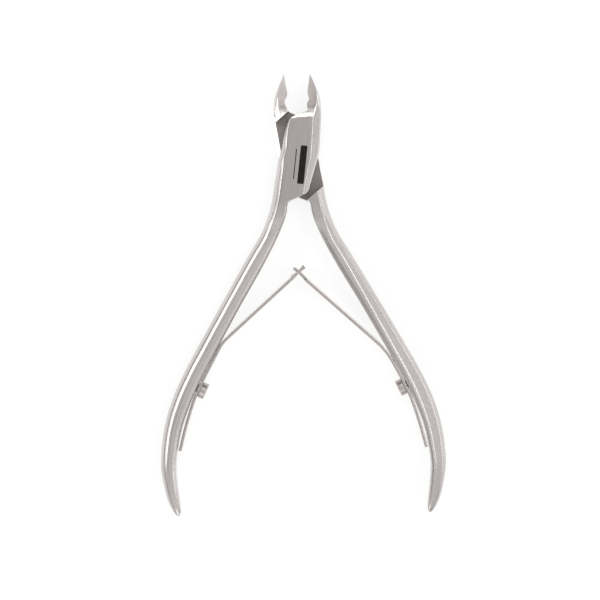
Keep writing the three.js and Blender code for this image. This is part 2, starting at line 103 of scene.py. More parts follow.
LAP_RIBS = [
    [-6.99, -11.72, 2.15, -8.14, 3.2, 1.2, 0.82, 1.3, 0.7],
    [-6.93, -11.45, 2.38, -7.8, 3.2, 1.2, 0.82, 1.4, 0.75],
    [-6.6, -10.1, 2.72, -6.4, 3.2, 1.2, 0.8, 1.5, 0.8],
    [-5.75, -5.3, 4.2, -1.35, 3.2, 1.1, 0.8, 1.95, 1.0],
    [-5.2, -2.4, 4.95, 1.4, 3.2, 1.0, 0.75, 2.1, 1.05],
    [-4.85, 0.0, 5.2, 3.75, 3.2, 0.9, 0.7, 2.15, 1.05],
    [-4.15, 2.2, 5.35, 5.85, 3.2, 0.8, 0.7, 2.12, 1.05],
    [-3.7, 5.0, 5.5, 8.65, 3.2, 0.6, 0.68, 2.07, 1.05],
    [-3.24, 7.1, 5.64, 10.65, 3.2, 0.45, 0.65, 2.07, 1.05],
    [-2.65, 8.9, 5.72, 12.2, 3.2, 0.35, 0.6, 2.07, 1.05],
    [-2.35, 9.45, 5.73, 12.75, 3.2, 0.3, 0.5, 2.07, 1.05],
    [-1.95, 9.78, 5.73, 13.05, 3.2, 0.3, 0.4, 2.07, 1.05],
    [-1.4, 10.0, 5.73, 13.22, 3.2, 0.3, 0.3, 2.07, 1.05],
]
OUTER_SIDE = [[9, 5.4], [10, 4.9], [11, 4.45], [12, 4.1], [13, 3.86], [14, 3.63], [15, 3.36],
              [16.5, 2.77], [18, 1.9], [19, 1.27], [20, 0.62], [JAW_TOP, 0.12], [21.6, 0.05]]
CREST = [[8, 3.65], [9, 3.43], [10.1, 3.2], [11, 3.08], [12, 3.0], [13, 2.96], [14.6, 2.88],
         [16.5, 2.45], [17.6, 1.98], [18.7, 1.37], [19.7, 0.75], [20.7, 0.15], [21.6, -0.3]]
FRONT_INNER_SIDE = [[JAW_FOOT, 0.6], [12.65, 0.5], [13.7, 0.3], [14.1, 0.4], [14.6, 0.63],
                    [15.2, 0.5], [15.9, 0.19], [16.35, 0.035], [16.6, EDGE_CLEARANCE],
                    [17.2, EDGE_CLEARANCE], [JAW_TOP, EDGE_CLEARANCE]]
BACK_INNER_SIDE = [[JAW_FOOT, 0.6], [12.6, 0.7], [13.2, 0.85], [14.0, 0.98], [14.6, 0.9],
                   [15.2, 0.5], [15.7, 0.14], [16.1, 0.035], [16.35, EDGE_CLEARANCE],
                   [17, EDGE_CLEARANCE], [JAW_TOP, EDGE_CLEARANCE]]

LEAF_TAIL = [[-29.45, -69.2], [-28.12, -64.0], [-26.93, -60.0], [-25.7, -56.58]]
LEAF_SEAT = [-24.71, -54.5]
LEAF_SHOULDER = [-23.72, -52.42]
LEFT_BEND = [-18.98, -43.6]
LEFT_FREE = [[-0.6, -27.25], [1.15, -25.7]]
RIGHT_BEND = [-20.36, -46.14]
RIGHT_FREE = [[-0.9, -28.45], [0.3, -27.1], [1.65, -26.05]]
FORK_START = [-2.0, -28.5]
TONGUE_START = [-1.3, -28.8]
FORK_GAP = 2.1
TONGUE_WIDTH = 1.5
SPLAY = 0.42                   # how far each prong's tip stands out of the leaf's own line
PRONG_THINNING = 0.35          # share of the leaf's thickness that a prong has lost at its tip
LEAN = 0.42                    # the lower edge of each spring arm stands this far nearer the jaws
LEAN_START = 0.5               # the lean begins this far beyond the bend
LEAN_LENGTH = 4.0              # and is full after this length
EDGE_RADIUS = 0.12             # rounding along the leaves' long edges
BASE_REACHES = [1.5, 1.5, 0.9, 0.8, 0.9]  # of the curves at the corners of a leaf's clamped base
HOOK_REACH = 0.5

# ---- Curves ---------------------------------------------------------------------------------


def slopes_of(rows, knots):
    rows = np.array(rows, float)
    knots = np.array(knots, float)
    out = np.zeros_like(rows)
    steps = np.diff(knots)
    secants = np.diff(rows, axis=0) / steps[:, None]
    out[0] = secants[0]
    out[-1] = secants[-1]
    for i in range(1, len(rows) - 1):
        a, b = steps[i - 1], steps[i]
        out[i] = (secants[i - 1] * b + secants[i] * a) / (a + b)
    return out


def hermite(p, q, m, n, length, t):
    s = 1 - t
    return (p * s * s * (1 + 2 * t) + q * t * t * (3 - 2 * t)
            + length * t * s * (m * s - n * t))


def along(pairs, x):
    pairs = np.array(pairs, float)
    knots = pairs[:, 0]
    slopes = slopes_of(pairs[:, 1:], knots)[:, 0]
    i = int(np.clip(np.searchsorted(knots, x, side="left") - 1, 0, len(knots) - 2))
    length = knots[i + 1] - knots[i]
    t = min(max((x - knots[i]) / length, 0), 1)
    return hermite(pairs[i, 1], pairs[i + 1, 1], slopes[i], slopes[i + 1], length, t)


def smooth_ribs(ribs, step):
    ribs = np.array(ribs, float)
    knots = [0.0]
    for i in range(1, len(ribs)):
        a, b, c, d = (ribs[i] - ribs[i - 1])[:4]
        knots.append(knots[-1] + (math.hypot(a, b) + math.hypot(c, d)) / 2)
    slopes = slopes_of(ribs, knots)
    out = [ribs[0]]
    for i in range(1, len(ribs)):
        length = knots[i] - knots[i - 1]
        parts = math.ceil(length / step)
        for n in range(1, parts + 1):
            out.append(hermite(ribs[i - 1], ribs[i], slopes[i - 1], slopes[i], length, n / parts))
    return out


# ---- Meshes ---------------------------------------------------------------------------------


def mesh_object(name, points, faces, uvs=None):
    mesh = bpy.data.meshes.new(name)
    mesh.from_pydata([tuple(p) for p in np.array(points) * MM], [], faces)
    if uvs is not None:
        layer = mesh.uv_layers.new(name="grain")
        flat = np.array(uvs)[[loop.vertex_index for loop in mesh.loops]]
        layer.data.foreach_set("uv", flat.astype(np.float32).ravel())
    mesh.validate()
    obj = bpy.data.objects.new(name, mesh)
    bpy.context.scene.collection.objects.link(obj)
    return obj


def volume_of(points, faces):
    p = np.array(points)
    total = 0.0
    for f in faces:
        for k in range(1, len(f) - 1):
            total += np.dot(p[f[0]], np.cross(p[f[k]], p[f[k + 1]]))
    return total


def loft(name, rings, uv_of=None, fan=False):
    """A closed mesh through rings of points.

    Its ends are strips between the ring's two halves, or with fan one polygon each."""
    count = len(rings[0])
    points = np.array(rings).reshape(-1, 3)
    faces = []
    last = (len(rings) - 1) * count
    for start in range(0, last, count):
        for k in range(count):
            a, b = start + k, start + (k + 1) % count
            faces.append((a, b, b + count, a + count))
    if fan:
        faces.append(tuple(reversed(range(count))))
        faces.append(tuple(last + k for k in range(count)))
    else:
        for k in range(count // 2 - 1):
            a, b, c, d = k, k + 1, count - 2 - k, count - 1 - k
            faces.append((a, d, c, b))
            faces.append((last + a, last + b, last + c, last + d))
    if volume_of(points, faces) < 0:
        faces = [tuple(reversed(f)) for f in faces]
    uvs = None
    if uv_of is not None:
        uvs = np.array(uv_of).reshape(-1, 2)
    return mesh_object(name, points, faces, uvs)


def lathe(name, profile, steps=96, place=lambda p: p):
    """A closed solid turned round its own Y axis.

    The profile is [radius, height] pairs that start and end on the axis."""
    points = []
    rows = []
    for radius, height in profile:
        if radius < 1e-6:
            rows.append([len(points)])
            points.append([0, height, 0])
        else:
            rows.append(list(range(len(points), len(points) + steps)))
            for k in range(steps):
                angle = 2 * math.pi * k / steps
                points.append([radius * math.cos(angle), height, radius * math.sin(angle)])
    faces = []
    for low, high in zip(rows, rows[1:]):
        for k in range(steps):
            n = (k + 1) % steps
            if len(low) == 1:
                faces.append((low[0], high[k], high[n]))
            elif len(high) == 1:
                faces.append((low[k], high[0], low[n]))
            else:
                faces.append((low[k], high[k], high[n], low[n]))
    points = [place(p) for p in np.array(points)]
    if volume_of(points, faces) < 0:
        faces = [tuple(reversed(f)) for f in faces]
    return mesh_object(name, points, faces)


def paint(obj, materials, index=0):
    obj.data.materials.clear()
    for material in materials:
        obj.data.materials.append(material)
    obj.data.polygons.foreach_set("material_index", [index] * len(obj.data.polygons))


def cut(obj, cutters, materials):
    """Takes each (cutter, material index) away from the object, and removes the cutters."""
    for cutter, index in cutters:
        paint(cutter, materials, index)
        modifier = obj.modifiers.new("cut", "BOOLEAN")
        modifier.operation = "DIFFERENCE"
        modifier.object = cutter
        modifier.solver = "MANIFOLD"
    deps = bpy.context.evaluated_depsgraph_get()
    result = bpy.data.meshes.new_from_object(obj.evaluated_get(deps))
    obj.modifiers.clear()
    old = obj.data
    obj.data = result
    bpy.data.meshes.remove(old)
    for cutter, _ in cutters:
        mesh = cutter.data
        bpy.data.objects.remove(cutter)
        bpy.data.meshes.remove(mesh)


def smooth(obj, degrees=24):
    mesh = obj.data
    mesh.shade_smooth()
    mesh.set_sharp_from_angle(angle=math.radians(degrees))
    weighted = obj.modifiers.new("weighted", "WEIGHTED_NORMAL")
    weighted.keep_sharp = True
    weighted.weight = 80


def turn_over(points):
    """Half a turn about the Y axis, which takes the front half's place to the back half's."""
    return np.array(points) * np.array([-1, 1, -1])


def lift(points):
    return np.array(points) + np.array([0, 0, MID])


# ---- Materials ------------------------------------------------------------------------------


class Nodes:
    """A small helper to write a node tree."""

    def __init__(self, name):
        self.material = bpy.data.materials.new(name)
        self.material.use_nodes = True
        self.tree = self.material.node_tree
        self.tree.nodes.clear()
        self.out = self.node("ShaderNodeOutputMaterial")
        self.shader = self.node("ShaderNodeBsdfPrincipled")
        self.link(self.shader.outputs["BSDF"], self.out.inputs["Surface"])

    def node(self, kind, **values):
        node = self.tree.nodes.new(kind)
        for key, value in values.items():
            setattr(node, key, value)
        return node

    def link(self, a, b):
        self.tree.links.new(a, b)

    def put(self, value, socket):
        if isinstance(value, bpy.types.NodeSocket):
            self.link(value, socket)
        else:
            socket.default_value = value

    def math(self, operation, a, b=0.0, clamp=False):
        node = self.node("ShaderNodeMath", operation=operation, use_clamp=clamp)
        self.put(a, node.inputs[0])
        self.put(b, node.inputs[1])
        return node.outputs[0]

    def vector(self, operation, a, b=(0, 0, 0)):
        node = self.node("ShaderNodeVectorMath", operation=operation)
        self.put(a, node.inputs[0])
        self.put(b, node.inputs[1])
        return node.outputs["Value" if operation in ("DOT_PRODUCT", "LENGTH") else "Vector"]

    def noise(self, where, scale, detail=3.0, roughness=0.55):
        node = self.node("ShaderNodeTexNoise")
        self.link(where, node.inputs["Vector"])
        node.inputs["Scale"].default_value = scale
        node.inputs["Detail"].default_value = detail
        node.inputs["Roughness"].default_value = roughness
        return node.outputs["Fac"]

    def remap(self, value, low, high, to_low=0.0, to_high=1.0):
        node = self.node("ShaderNodeMapRange", clamp=True)
        self.link(value, node.inputs["Value"])
        for key, number in zip(("From Min", "From Max", "To Min", "To Max"),
                               (low, high, to_low, to_high)):
            node.inputs[key].default_value = number
        return node.outputs["Result"]

    def mix(self, factor, a, b):
        node = self.node("ShaderNodeMix", data_type="RGBA")
        self.put(factor, node.inputs["Factor"])
        self.put(a, node.inputs[6])
        self.put(b, node.inputs[7])
        return node.outputs[2]

    def stretched(self, source, scale, angle=0.0):
        node = self.node("ShaderNodeMapping")
        self.link(source, node.inputs["Vector"])
        node.inputs["Scale"].default_value = scale
        node.inputs["Rotation"].default_value = (0, 0, angle)
        return node.outputs["Vector"]


WORN_EDGE = 0.07               # the edges look rounded to this radius
LAP_FACE_TINT = 0.26           # the lap's flat faces are mixed with this darker grey
LAP_FACE_SHARE = 0.42


def steel(name, tint, dark_tint, rough, grain_uv, grain_scale, grain_angle=0.0, depth=0.02,
          mark=False, edge_tint=None, stain=0.3, lap_grain=False):
    """Bare steel with a directional grain, faint handling stains, and edges that are worn bright.

    With lap_grain the grain runs along the piece on the lap, and the lap's flats are darker."""
    n = Nodes(name)
    place = n.node("ShaderNodeTexCoord")
    uv = place.outputs["Object"]
    if grain_uv:
        uv = n.node("ShaderNodeUVMap", uv_map="grain").outputs["UV"]
    fine = n.noise(n.stretched(uv, grain_scale, grain_angle), 1.0, 4.0, 0.6)
    coarse = n.noise(n.stretched(uv, tuple(s * 0.3 for s in grain_scale), grain_angle), 1.0, 2.0)
    if lap_grain:
        split = n.node("ShaderNodeSeparateXYZ")
        n.link(place.outputs["Object"], split.inputs[0])
        on_lap = n.remap(split.outputs["Y"], -0.016, -0.010)
        lap_fine = n.noise(n.stretched(uv, (0.12, 3.2, 1.0)), 1.0, 5.0, 0.6)
        fine = n.math("ADD", n.math("MULTIPLY", fine, n.math("SUBTRACT", 1.0, on_lap)),
                      n.math("MULTIPLY", lap_fine, on_lap))
    cloud = n.noise(place.outputs["Object"], 70.0, 2.0)
    pits = n.noise(place.outputs["Object"], 2600.0, 2.0)
    strokes = n.math("ADD", n.math("MULTIPLY", fine, 0.85), n.math("MULTIPLY", coarse, 0.15))
    tone = n.remap(strokes, 0.3, 0.7)
    colour = n.mix(tone, dark_tint, tint)
    if lap_grain:
        away = n.math("ABSOLUTE", n.math("SUBTRACT", split.outputs["Z"], MID * MM))
        face = n.math("MULTIPLY", on_lap, n.math("GREATER_THAN", away, (MID - 0.04) * MM))
        colour = n.mix(n.math("MULTIPLY", face, LAP_FACE_SHARE), colour, grey(LAP_FACE_TINT, 0.05))
    stained = n.math("MULTIPLY", n.remap(cloud, 0.42, 0.75), stain)
    colour = n.mix(stained, colour, tuple(c * 0.86 for c in dark_tint[:3]) + (1,))
    roundness = n.node("ShaderNodeBevel", samples=6)
    roundness.inputs["Radius"].default_value = WORN_EDGE * MM
    geometry = n.node("ShaderNodeNewGeometry")
    turn = n.vector("DOT_PRODUCT", roundness.outputs["Normal"], geometry.outputs["Normal"])
    worn = n.math("MULTIPLY", n.remap(turn, 0.995, 0.86), n.remap(pits, 0.35, 0.6, 0.55, 1.0))
    colour = n.mix(worn, colour, edge_tint or tuple(min(1, c * 1.18) for c in tint[:3]) + (1,))
    roughness = n.remap(strokes, 0.3, 0.7, rough - 0.06, rough + 0.07)
    roughness = n.math("SUBTRACT", roughness, n.math("MULTIPLY", worn, 0.1), clamp=True)
    roughness = n.math("ADD", roughness, n.math("MULTIPLY", stained, 0.08), clamp=True)
    height = n.math("ADD", strokes, n.math("MULTIPLY", pits, 0.15))
    if mark:
        colour, roughness, height = etched(n, place, colour, roughness, height)
    bump = n.node("ShaderNodeBump")
    bump.inputs["Strength"].default_value = 0.5
    bump.inputs["Distance"].default_value = depth * MM
    n.link(height, bump.inputs["Height"])
    n.link(roundness.outputs["Normal"], bump.inputs["Normal"])
    n.link(colour, n.shader.inputs["Base Color"])
    n.link(roughness, n.shader.inputs["Roughness"])
    n.link(bump.outputs["Normal"], n.shader.inputs["Normal"])
    n.shader.inputs["Metallic"].default_value = 1.0
    return n.material


MARK_AT = (0.92, -1.4)         # middle of the etched bar on the front lap
MARK_TURN = math.radians(7)
MARK_HALF = (0.8, 4.6)
LINE_AT = -1.75                # the hairline beside the bar
LINE_HALF = (0.11, 3.6)
MARK_CORNER = 0.3
LINE_CORNER = 0.1
MARK_BLUR = 0.03


def etched(n, place, colour, roughness, height):
    """A plain etched bar and a hairline beside it, on the upward face of the front lap only."""
    at = n.vector("SUBTRACT", place.outputs["Object"], (MARK_AT[0] * MM, MARK_AT[1] * MM, 0))
    right = (math.cos(MARK_TURN), -math.sin(MARK_TURN), 0)
    up = (math.sin(MARK_TURN), math.cos(MARK_TURN), 0)
    x = n.vector("DOT_PRODUCT", at, right)
    y = n.vector("DOT_PRODUCT", at, up)

    def bar(middle, half, radius):
        aside = n.math("ABSOLUTE", n.math("SUBTRACT", x, middle * MM))
        dx = n.math("SUBTRACT", aside, (half[0] - radius) * MM)
        dy = n.math("SUBTRACT", n.math("ABSOLUTE", y), (half[1] - radius) * MM)
        ox, oy = n.math("MAXIMUM", dx, 0.0), n.math("MAXIMUM", dy, 0.0)
        squares = n.math("ADD", n.math("MULTIPLY", ox, ox), n.math("MULTIPLY", oy, oy))
        reach = n.math("SQRT", squares)
        return n.remap(reach, (radius + MARK_BLUR) * MM, (radius - MARK_BLUR) * MM)

    inside = n.math("MAXIMUM", bar(0.0, MARK_HALF, MARK_CORNER),
                    bar(LINE_AT, LINE_HALF, LINE_CORNER))
    split = n.node("ShaderNodeSeparateXYZ")
    n.link(place.outputs["Object"], split.inputs[0])
    on_top = n.math("GREATER_THAN", split.outputs["Z"], (2 * MID - 0.1) * MM)
    inside = n.math("MULTIPLY", inside, on_top)
    speckle = n.noise(place.outputs["Object"], 5200.0, 2.0)
    ink = n.mix(n.remap(speckle, 0.35, 0.7), (0.012, 0.011, 0.011, 1), (0.05, 0.047, 0.045, 1))
    colour = n.mix(inside, colour, ink)
    roughness = n.math("ADD", n.math("MULTIPLY", inside, 0.3), roughness, clamp=True)
    height = n.math("SUBTRACT", height, n.math("MULTIPLY", inside, 0.8))
    return colour, roughness, height


def grey(value, warm=0.0):
    return (value * (1 + warm), value * (1 - warm * 0.6), value * (1 - warm * 0.95), 1)


handle_look = dict(tint=grey(0.69, 0.03), dark_tint=grey(0.56, 0.035), rough=0.24, grain_uv=True,
                   grain_scale=(1.2, 7.0, 1.0), grain_angle=math.radians(48), lap_grain=True,
                   depth=0.007)
brushed_front = steel("brushed_front", mark=True, **handle_look)
brushed_back = steel("brushed_back", **handle_look)
polished = steel("polished", grey(0.80, 0.012), grey(0.72, 0.015), 0.15, False,
                 (900, 260, 900), depth=0.004, stain=0.15)
ground = steel("ground", grey(0.75, 0.03), grey(0.58, 0.045), 0.3, False,
               (2600, 700, 2600), math.radians(20), depth=0.014, stain=0.5)
raw = steel("raw", grey(0.38, 0.05), grey(0.22, 0.07), 0.5, False,
            (2200, 2200, 2200), depth=0.05, stain=0.6, edge_tint=grey(0.45, 0.04))
spring_look = steel("spring", grey(0.62, 0.05), grey(0.48, 0.06), 0.24, False,
                    (1500, 1500, 5200), depth=0.008, stain=0.35)
# Painted highlight: a lighter, glossier copy of the spring steel that brightens the leaves' broad
# sides.
spring_painted_highlight = steel("spring_painted_highlight", grey(0.86, 0.02), grey(0.76, 0.03), 0.16, False,
                    (1500, 1500, 5200), depth=0.004, stain=0.2)
screw_look = steel("screw", grey(0.60, 0.05), grey(0.42, 0.06), 0.34, False,
                   (3000, 3000, 3000), depth=0.01, stain=0.3)
rivet_look = steel("rivet", grey(0.62, 0.03), grey(0.5, 0.04), 0.3, False,
                   (700, 5000, 700), depth=0.012, stain=0.5)

# ---- The two forged halves --------------------------------------------------------------------

# Upper and lower are the front half's sides. The back half is the same section turned over.
FILLET = 0.13
CREST_FILLET = 0.2
UPPER_CORNER = 0.36            # chamfer along the handle's inner edge
LOWER_CORNER = 0.19
CROWN = 0.02                   # the flat face is ground very slightly convex
NARROW_EDGE = 0.25             # a right-hand bevel narrower than this isn't on the lap
UPPER_BEVEL = 0.68             # share of the rib's bevel width
# Width of the handle's lower bevel: [y, width]
LOWER_BEVEL = [[-85, 0.6], [-80, 1.05], [-74, 1.5], [-66, 1.85], [-42, 1.58], [-19, 1.0],
               [-10, 0.9]]
LOWER_SLOPE = 0.42
BEVEL_ROOM = 0.66              # the lower bevel's largest share of the width inside the strip
JOINT_START = -17.0            # the handle's section turns into the lap's from here
JOINT_LENGTH = 4.0
EDGE_FALL = 0.14               # mean slope of the flat's fall towards a handle's inner edge


def filleted(corners, radius, steps=3):
    """The polyline with each inner corner replaced by a small arc."""
    corners = np.array(corners, float)
    out = [corners[0]]
    for before, at, after in zip(corners, corners[1:], corners[2:]):
        back, on = before - at, after - at
        reach = min(radius, 0.4 * np.linalg.norm(back), 0.4 * np.linalg.norm(on))
        p = at + back / max(np.linalg.norm(back), 1e-9) * reach
        q = at + on / max(np.linalg.norm(on), 1e-9) * reach
        for k in range(steps + 1):
            t = k / steps
            out.append(p * (1 - t) ** 2 + 2 * at * t * (1 - t) + q * t * t)
    out.append(corners[-1])
    return np.array(out)


def sag(x, outer, inner):
    """0 in the middle of the flat face and 1 at its edges."""
    middle, half = (outer + inner) / 2, (inner - outer) / 2
    return min(((x - middle) / half) ** 2, 1.0)


def half_section(flat, strip, bevel, slope, edge, drop, width, fall_slope, crown_depth, corner):
    """From the left edge to the right one: outer strip, bevel, flat face, right-hand bevel."""
    foot = flat - bevel * slope
    arc = []
    for k in range(9):
        angle = RIDGE_ANGLE * k / 8
        arc.append([strip * (1 - math.cos(angle)) / (1 - math.cos(RIDGE_ANGLE)),
                    foot * math.sin(angle) / math.sin(RIDGE_ANGLE)])
    on_slope = [strip + bevel * 0.5, flat - bevel * slope / 2]
    ridge = filleted([arc[-2], arc[-1], on_slope], FILLET)[1:-1]
    face = width - edge - strip - bevel
    crest_corner = [on_slope, [strip + bevel, flat], [strip + bevel + 0.4 * face, flat]]
    crest = filleted(crest_corner, CREST_FILLET, 5)[1:-1]
    if edge < NARROW_EDGE and width > 1.2:
        wide = min(0.3 * width, 0.8 * face)
        fall = fall_slope * wide
        turn = [[width - wide + (wide - corner) * t, flat - fall * t * t]
                for t in np.linspace(0, 1, 8)]
        turn += [[width - 0.8 * corner, turn[-1][1] - 0.08 * corner],
                 [width - 0.1 * corner, turn[-1][1] - 0.78 * corner],
                 [width, turn[-1][1] - corner]]
    else:
        turn = list(filleted([[width - edge - 0.3 * face, flat], [width - edge, flat],
                              [width, flat - drop], [width, 0]], CREST_FILLET)[1:-1])
        turn = turn[:4] + [turn[3] + (turn[4] - turn[3]) * t for t in (0.25, 0.5, 0.75)] + turn[4:]
    inner, outer = turn[0][0], crest[-1][0]
    crown = [[x, flat] for x in np.linspace(outer, inner, 8)[1:-1]]
    upper = [*arc[:-1], *ridge, *crest, *crown, *turn, [width, 0]]
    return [[x, z - crown_depth * sag(x, outer, inner)] if z > flat - 1e-6 else [x, z]
            for x, z in upper]


def section(flat, strip, bevel, edge, drop, width, y):
    """The handle's upper bevel is narrow and its lower one wide. They even out at the joint."""
    joint = 1.0
    if edge < NARROW_EDGE:
        joint = min(max((y - JOINT_START) / JOINT_LENGTH, 0), 1)
    joint = joint * joint * (3 - 2 * joint)
    fall = EDGE_FALL * (1 - joint)
    crown = CROWN * (1 - joint)
    room = BEVEL_ROOM * (width - strip)
    narrow = bevel * (UPPER_BEVEL + (1 - UPPER_BEVEL) * joint)
    above = half_section(flat, strip, narrow, STRIP_SLOPE, edge, drop, width, fall, crown,
                         UPPER_CORNER)
    wide = bevel
    if edge < NARROW_EDGE:
        wide = min(along(LOWER_BEVEL, y) * (1 - joint) + bevel * joint, room)
    slope = STRIP_SLOPE + (LOWER_SLOPE - STRIP_SLOPE) * (1 - joint)
    below = half_section(flat, strip, wide, slope, edge, drop, width, fall, crown, LOWER_CORNER)
    lower = [[x, -z] for x, z in below[1:-1]][::-1]
    return np.array(above + lower, float)


def ring_over(rib):
    left, right = rib[0:2], rib[2:4]
    width = float(np.linalg.norm(right - left))
    plan = section(*rib[4:9], width, (left[1] + right[1]) / 2)
    share = plan[:, 0:1] / width
    ring = np.hstack([left * (1 - share) + right * share, plan[:, 1:2]])
    across = np.concatenate([[0], np.cumsum(np.linalg.norm(np.diff(plan, axis=0), axis=1))])
    return ring, across


def opened(x, y, z=0.0):
    c, s = math.cos(-HALF_OPENING), math.sin(-HALF_OPENING)
    return [x * c - y * s, x * s + y * c, z]


RIB_LEAN = 1.6                 # rise of a rib to its outer end at the jaw's foot, none at its top
BLANK_MARGIN = 0.2             # the jaw's blank is this much wider than the dome cut from it


def jaw_ribs(inner_side):
    head = LAP_RIBS[-1]
    foot = opened(inner_side[0][1], inner_side[0][0])
    ribs = [[foot[0], foot[1], head[2], head[3] + 0.03, *head[4:]]]
    for y, inner in inner_side[1:]:
        left = opened(inner, y)
        lean = RIB_LEAN * (1 - (y - JAW_FOOT) / (JAW_TOP - JAW_FOOT))
        right = opened(along(OUTER_SIDE, y + lean) + BLANK_MARGIN, y + lean)
        ribs.append([left[0], left[1], right[0], right[1], MID, 0.02, 0.02, 0.02, 0.02])
    return ribs


def dome_height(x, y):
    share = min(max(x, 0) / along(OUTER_SIDE, y), 1)
    return along(CREST, y - DOME_LEAN * x) * (1 - share ** DOME_POWER) ** (1 / DOME_POWER)


def facet_height(x, y):
    into = min(max(WHEEL_START - y, 0), WHEEL_RADIUS)
    return EDGE_HEIGHT + FACET_SLOPE * x + WHEEL_RADIUS - math.sqrt(WHEEL_RADIUS ** 2 - into ** 2)


def above_dome(place, side):
    """The space outside the jaw's domed surface, to cut away."""
    rings = []
    rows = np.concatenate([np.linspace(8.8, 19.6, 50), np.linspace(19.8, 21.6, 16)])
    for y in rows:
        outer = along(OUTER_SIDE, y)
        low = [[x, dome_height(x, y)] for x in (-5, -2.5, 0)]
        for share in 1 - (1 - np.linspace(0.06, 1, 20)) ** 1.7:
            low.append([share * outer, dome_height(share * outer, y)])
        low += [[outer + 0.02, -0.05], [outer + 3, -0.05]]
        high = [[x, 2 * MID] for x, _ in low][::-1]
        ring = np.array([opened(x, y, z) for x, z in low + high])
        ring[:, 2] *= side
        rings.append(place(ring))
    return loft("dome", rings)


def above_facet(place, side):
    """The space above the jaw's ground facet, to cut away. A wheel's curve ends it at its foot."""
    rings = []
    rows = np.concatenate([WHEEL_START - WHEEL_RADIUS * np.cos(np.linspace(0.09, math.pi / 2, 26)),
                           [16, 18, 21.6]])
    for y in rows:
        low = [[x, facet_height(x, y)] for x in (-1, 4.5)]
        high = [[4.5, 2 * MID + 3], [-1, 2 * MID + 3]]
        ring = np.array([opened(x, y, z) for x, z in low + high])
        ring[:, 2] *= side
        rings.append(place(ring))
    return loft("facet", rings)


RELIEF_FROM = (5.27, 8.78)     # the outer edge of the sliding face is bevelled off from this line
RELIEF_TO = (4.16, 2.02)
RELIEF_SLOPE = 0.62


def relief(place):
    """A wedge along the outer edge of the sliding face, to cut away."""
    a, b = np.array(RELIEF_FROM), np.array(RELIEF_TO)
    on = (b - a) / np.linalg.norm(b - a)
    out = np.array([-on[1], on[0]])
    out *= np.sign(out[0])
    rings = []
    for reach in (-2.5, 11.5):
        start = a + on * reach
        ring = []
        for u, z in ((0, 0), (3, 3 * RELIEF_SLOPE), (3, -6), (0, -6)):
            ring.append([*(start + out * u), z + LAP_GAP / 2 - 0.001])
        rings.append(place(np.array(ring)))
    return loft("relief", rings)


def box(name, place, size, at, turn):
    sx, sy, sz = (s / 2 for s in size)
    c, s = math.cos(turn), math.sin(turn)
    rings = []
    for y in (-sy, sy):
        ring = []
        for x, z in ((-sx, -sz), (sx, -sz), (sx, sz), (-sx, sz)):
            ring.append([at[0] + x * c - y * s, at[1] + x * s + y * c, at[2] + z])
        rings.append(place(np.array(ring)))
    return loft(name, rings)


def pin_profile(top, end):
    """The profile of the solid that cuts the hole for a spring screw's shank."""
    radius = SCREW_SHANK + PIN_CLEARANCE
    return [[0, top], [radius, top], [radius, end], [0, end]]


HANDLE_STEP = 0.7              # largest spacing of the rings that a half is lofted through
LAP_STEP = 0.6
JAW_STEP = 0.45
RECESS_LENGTH = 40             # of the cutter, which runs past both sides of the lap


def forged_half(name, inner_side, place, materials, rivet_hole):
    """One forging: a blank lofted through its ribs, then cut to its jaw, lap and holes."""
    handle = smooth_ribs(HANDLE_RIBS, HANDLE_STEP)
    lap = smooth_ribs(LAP_RIBS, LAP_STEP)
    jaw = smooth_ribs(jaw_ribs(inner_side), JAW_STEP)
    rings, uvs = [], []
    travelled = 0.0
    before = None
    for rib in [*handle, *lap, *jaw]:
        ring, across = ring_over(rib)
        middle = (rib[0:2] + rib[2:4]) / 2
        if before is not None:
            travelled += float(np.linalg.norm(middle - before))
        before = middle
        rings.append(place(ring))
        uvs.append([[travelled, a] for a in across])
    half = loft(name, rings, uvs)
    paint(half, materials, 0)
    shoulders = (UPPER_SHOULDER - LOWER_SHOULDER) / 2
    depth = 2 * MID
    cutters = [
        (above_dome(place, 1), 1), (above_dome(place, -1), 1),
        (above_facet(place, 1), 3), (above_facet(place, -1), 3),
        (box("recess", place, (RECESS_LENGTH, UPPER_SHOULDER + LOWER_SHOULDER, depth),
             (shoulders * math.sin(SHOULDER_TILT), shoulders * math.cos(SHOULDER_TILT),
              LAP_GAP / 2 - depth / 2), -SHOULDER_TILT), 2),
        (relief(place), 1),
        (rivet_hole, 2),
        (lathe("hole", pin_profile(LEAF_THICKNESS / 2 + 0.5, LEAF_THICKNESS / 2 - SCREW_REACH), 48,
               lambda p: place(on_seat(p))), 2),
    ]
    cut(half, cutters, materials)
    smooth(half)
    return half


# ---- Springs, screws and rivet ------------------------------------------------------------------

SEAT_TURN = math.atan2(LEAF_SHOULDER[1] - LEAF_SEAT[1], LEAF_SHOULDER[0] - LEAF_SEAT[0]) + math.pi


def on_seat(p):
    c, s = math.cos(SEAT_TURN), math.sin(SEAT_TURN)
    p = np.array(p, float)
    return np.array([LEAF_SEAT[0] + p[0] * c - p[1] * s, LEAF_SEAT[1] + p[0] * s + p[1] * c, p[2]])


def rounded_path(points, reaches, step=0.35):
    """The polyline with each inner corner turned in a curve that starts that reach before it."""
    points = [np.array(p, float) for p in points]
    path = [points[0]]
    for before, at, after, reach in zip(points, points[1:], points[2:], reaches):
        back = (before - at) / np.linalg.norm(before - at)
        on = (after - at) / np.linalg.norm(after - at)
        p, q = at + back * reach, at + on * reach
        for t in np.linspace(0, 1, 13):
            path.append(p * (1 - t) ** 2 + 2 * at * t * (1 - t) + q * t * t)
    path.append(points[-1])
    path = np.array(path)
    lengths = np.concatenate([[0], np.cumsum(np.linalg.norm(np.diff(path, axis=0), axis=1))])
    keep = np.concatenate([[True], np.diff(lengths) > 1e-6])
    path, lengths = path[keep], lengths[keep]
    even = np.linspace(0, lengths[-1], int(lengths[-1] / step) + 1)
    return np.stack([np.interp(even, lengths, path[:, k]) for k in (0, 1)], axis=1)


